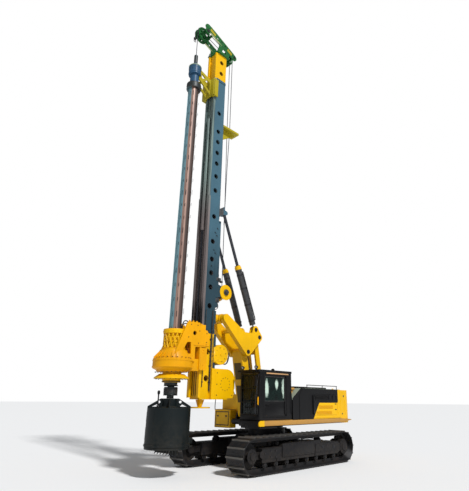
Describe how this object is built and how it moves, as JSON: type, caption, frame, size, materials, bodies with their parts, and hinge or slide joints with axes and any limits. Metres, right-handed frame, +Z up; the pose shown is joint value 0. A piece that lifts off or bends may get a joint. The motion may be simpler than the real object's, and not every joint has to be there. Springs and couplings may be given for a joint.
{
  "type": "rotary piling rig",
  "caption": "Mobile rotary drilling rig for bored piles: crawler tracks, swing house with cab, luffing linkage, upright mast, rotary drive, telescopic bar and drilling bucket.",
  "frame": {"origin": "on the ground under the middle of the machine's outline", "axes": "+Z up, -Y towards the machine's front and its mast, +X towards the cab side, which is the machine's left"},
  "size_m": [3.52, 8.24, 17.06],
  "materials": {
    "track_black": "worn dark track steel",
    "frame_grey": "dark grey semi-gloss paint",
    "rig_yellow": "semi-gloss machine paint",
    "drive_orange": "semi-gloss machine paint",
    "cab_black": "satin black paint",
    "mast_blue": "satin blue-grey paint",
    "head_green": "satin dark green paint",
    "kelly_steel": "worn blue-grey steel",
    "bucket_black": "worn dark paint",
    "bright_steel": "polished hard chrome rod",
    "glass": "green tinted cab glass",
    "seat_black": "dark woven seat cover"
  },
  "bodies": {
    "undercarriage": {"carbody": "frame_grey", "track_left": "track_black", "track_right": "track_black", "track_frame_left": "frame_grey", "track_frame_right": "frame_grey"},
    "upper": {"deck": "rig_yellow", "cab_shell": "cab_black", "glass_front": "glass", "glass_rear": "glass", "glass_right": "glass", "cab_seat": "seat_black", "house": "cab_black", "engine_block": "frame_grey", "counterweight": "rig_yellow", "tank_and_step": "rig_yellow"},
    "cab_door": {"cab_door": "cab_black", "glass_door": "glass"},
    "side_door_left": {"side_door_left": "rig_yellow"},
    "side_door_right": {"side_door_right": "rig_yellow"},
    "hood_lid": {"hood_lid": "cab_black"},
    "boom": {"boom": "rig_yellow"},
    "link_arms": {"link_arms": "rig_yellow"},
    "luff_barrel": {"luff_barrel": "cab_black"},
    "luff_rod": {"luff_rod": "bright_steel"},
    "triangle_frame": {"triangle_frame": "rig_yellow"},
    "swivel_block": {"swivel_block": "rig_yellow"},
    "mast": {"mast_lower": "rig_yellow", "mast_upper": "mast_blue", "mast_top": "rig_yellow", "head_frame": "head_green", "rope_guide": "rig_yellow", "crowd_barrel": "cab_black"},
    "mast_rod_left": {"mast_rod_left": "bright_steel"},
    "mast_rod_right": {"mast_rod_right": "bright_steel"},
    "mast_barrel_left": {"mast_barrel_left": "cab_black"},
    "mast_barrel_right": {"mast_barrel_right": "cab_black"},
    "carriage": {"rotary_drive": "drive_orange", "crowd_rod": "bright_steel"},
    "drive_sleeve": {"drive_sleeve": "rig_yellow"},
    "kelly_guide": {"kelly_guide": "mast_blue"},
    "kelly_outer": {"kelly_outer": "kelly_steel"},
    "kelly_inner": {"kelly_inner": "kelly_steel", "bucket": "bucket_black"},
    "bucket_door": {"bucket_door": "bucket_black"},
    "mast_foot": {"mast_foot": "rig_yellow"},
    "main_drum": {"main_drum": "frame_grey"},
    "aux_drum": {"aux_drum": "rig_yellow"},
    "sheave_front_main": {"sheave_front_main": "head_green"},
    "sheave_front_aux": {"sheave_front_aux": "head_green"},
    "sheave_rear_main": {"sheave_rear_main": "head_green"},
    "sheave_rear_aux": {"sheave_rear_aux": "head_green"}
  },
  "joints": [
    {"name": "swing", "type": "hinge", "parent": "undercarriage", "child": "upper", "pos_m": [0, 0.75, 1.16], "axis": [0, 0, 1], "continuous": true},
    {"name": "cab_door_hinge", "type": "hinge", "parent": "upper", "child": "cab_door", "pos_m": [1.492, 0.124, 1.56], "axis": [0, 0, 1], "range_deg": [0, 170]},
    {"name": "side_door_left_hinge", "type": "hinge", "parent": "upper", "child": "side_door_left", "pos_m": [1.492, 1.616, 1.58], "axis": [0, 0, -1], "range_deg": [0, 100]},
    {"name": "side_door_right_hinge", "type": "hinge", "parent": "upper", "child": "side_door_right", "pos_m": [-1.492, 1.616, 1.58], "axis": [0, 0, 1], "range_deg": [0, 100]},
    {"name": "hood_lid_hinge", "type": "hinge", "parent": "upper", "child": "hood_lid", "pos_m": [0, 3.1, 2.55], "axis": [-1, 0, 0], "range_deg": [0, 60]},
    {"name": "luff", "type": "hinge", "parent": "upper", "child": "boom", "pos_m": [0, -0.3, 1.64], "axis": [1, 0, 0], "range_deg": [-5, 25]},
    {"name": "link_swing", "type": "hinge", "parent": "upper", "child": "link_arms", "pos_m": [0, 0.26, 2.19], "axis": [1, 0, 0], "range_deg": [-5, 25]},
    {"name": "triangle_level", "type": "hinge", "parent": "boom", "child": "triangle_frame", "pos_m": [0, -0.67, 3.66], "axis": [1, 0, 0], "range_deg": [-25, 5]},
    {"name": "luff_barrel_swing", "type": "hinge", "parent": "upper", "child": "luff_barrel", "pos_m": [0, 0.45, 1.67], "axis": [1, 0, 0], "range_deg": [-5, 20]},
    {"name": "luff_rod_slide", "type": "slide", "parent": "luff_barrel", "child": "luff_rod", "axis": [0, -0.4961, 0.8682], "range_m": [-0.06, 0.28]},
    {"name": "mast_tilt", "type": "hinge", "parent": "triangle_frame", "child": "swivel_block", "pos_m": [0, -1.73, 4.7], "axis": [1, 0, 0], "range_deg": [-15, 5]},
    {"name": "mast_lean", "type": "hinge", "parent": "swivel_block", "child": "mast", "pos_m": [0, -1.73, 4.7], "axis": [0, 1, 0], "range_deg": [-4, 4]},
    {"name": "mast_rod_left_swing", "type": "hinge", "parent": "mast", "child": "mast_rod_left", "pos_m": [0.345, -1.97, 8.5], "axis": [1, 0, 0], "range_deg": [-2, 3]},
    {"name": "mast_barrel_left_slide", "type": "slide", "parent": "mast_rod_left", "child": "mast_barrel_left", "axis": [0, 0.382, -0.9242], "range_m": [-0.36, 0.13]},
    {"name": "mast_rod_right_swing", "type": "hinge", "parent": "mast", "child": "mast_rod_right", "pos_m": [-0.345, -1.97, 8.5], "axis": [1, 0, 0], "range_deg": [-2, 3]},
    {"name": "mast_barrel_right_slide", "type": "slide", "parent": "mast_rod_right", "child": "mast_barrel_right", "axis": [0, 0.382, -0.9242], "range_m": [-0.36, 0.13]},
    {"name": "crowd", "type": "slide", "parent": "mast", "child": "carriage", "axis": [0, 0, 1], "range_m": [0, 4.3]},
    {"name": "sleeve_spin", "type": "hinge", "parent": "carriage", "child": "drive_sleeve", "pos_m": [0, -3.49, 2.86], "axis": [0, 0, 1], "continuous": true},
    {"name": "kelly_hoist", "type": "slide", "parent": "mast", "child": "kelly_guide", "axis": [0, 0, 1], "range_m": [-9, 0.25]},
    {"name": "kelly_spin", "type": "hinge", "parent": "kelly_guide", "child": "kelly_outer", "pos_m": [0, -3.49, 13.58], "axis": [0, 0, 1], "continuous": true},
    {"name": "kelly_inner_slide", "type": "slide", "parent": "kelly_outer", "child": "kelly_inner", "axis": [0, 0, 1], "range_m": [-10, 0]},
    {"name": "bucket_door_hinge", "type": "hinge", "parent": "kelly_inner", "child": "bucket_door", "pos_m": [0, -2.79, 0.82], "axis": [1, 0, 0], "range_deg": [0, 70]},
    {"name": "foot_slide", "type": "slide", "parent": "mast", "child": "mast_foot", "axis": [0, 0, 1], "range_m": [-0.6, 0]},
    {"name": "main_drum_spin", "type": "hinge", "parent": "mast", "child": "main_drum", "pos_m": [0, -1.61, 2.56], "axis": [1, 0, 0], "continuous": true},
    {"name": "aux_drum_spin", "type": "hinge", "parent": "mast", "child": "aux_drum", "pos_m": [0, -1.63, 5.63], "axis": [1, 0, 0], "continuous": true},
    {"name": "sheave_front_main_spin", "type": "hinge", "parent": "mast", "child": "sheave_front_main", "pos_m": [0, -3.19, 16.36], "axis": [1, 0, 0], "continuous": true},
    {"name": "sheave_front_aux_spin", "type": "hinge", "parent": "mast", "child": "sheave_front_aux", "pos_m": [-0.17, -3.19, 16.36], "axis": [1, 0, 0], "continuous": true},
    {"name": "sheave_rear_main_spin", "type": "hinge", "parent": "mast", "child": "sheave_rear_main", "pos_m": [0, -1.83, 16.02], "axis": [1, 0, 0], "continuous": true},
    {"name": "sheave_rear_aux_spin", "type": "hinge", "parent": "mast", "child": "sheave_rear_aux", "pos_m": [-0.17, -1.83, 16.02], "axis": [1, 0, 0], "continuous": true}
  ],
  "couplings": [
    {"joint": "triangle_level", "follows": "luff", "ratio": -1},
    {"joint": "link_swing", "follows": "luff", "ratio": 1},
    {"joint": "luff_barrel_swing", "follows": "luff", "ratio": 0.742},
    {"joint": "luff_rod_slide", "follows": "luff", "m_per_rad": 0.612},
    {"joint": "mast_rod_left_swing", "follows": "mast_tilt", "ratio": -0.157},
    {"joint": "mast_rod_right_swing", "follows": "mast_tilt", "ratio": -0.157},
    {"joint": "mast_barrel_left_slide", "follows": "mast_tilt", "m_per_rad": 1.285},
    {"joint": "mast_barrel_right_slide", "follows": "mast_tilt", "m_per_rad": 1.285},
    {"joint": "sleeve_spin", "follows": "kelly_spin", "ratio": 1}
  ]
}
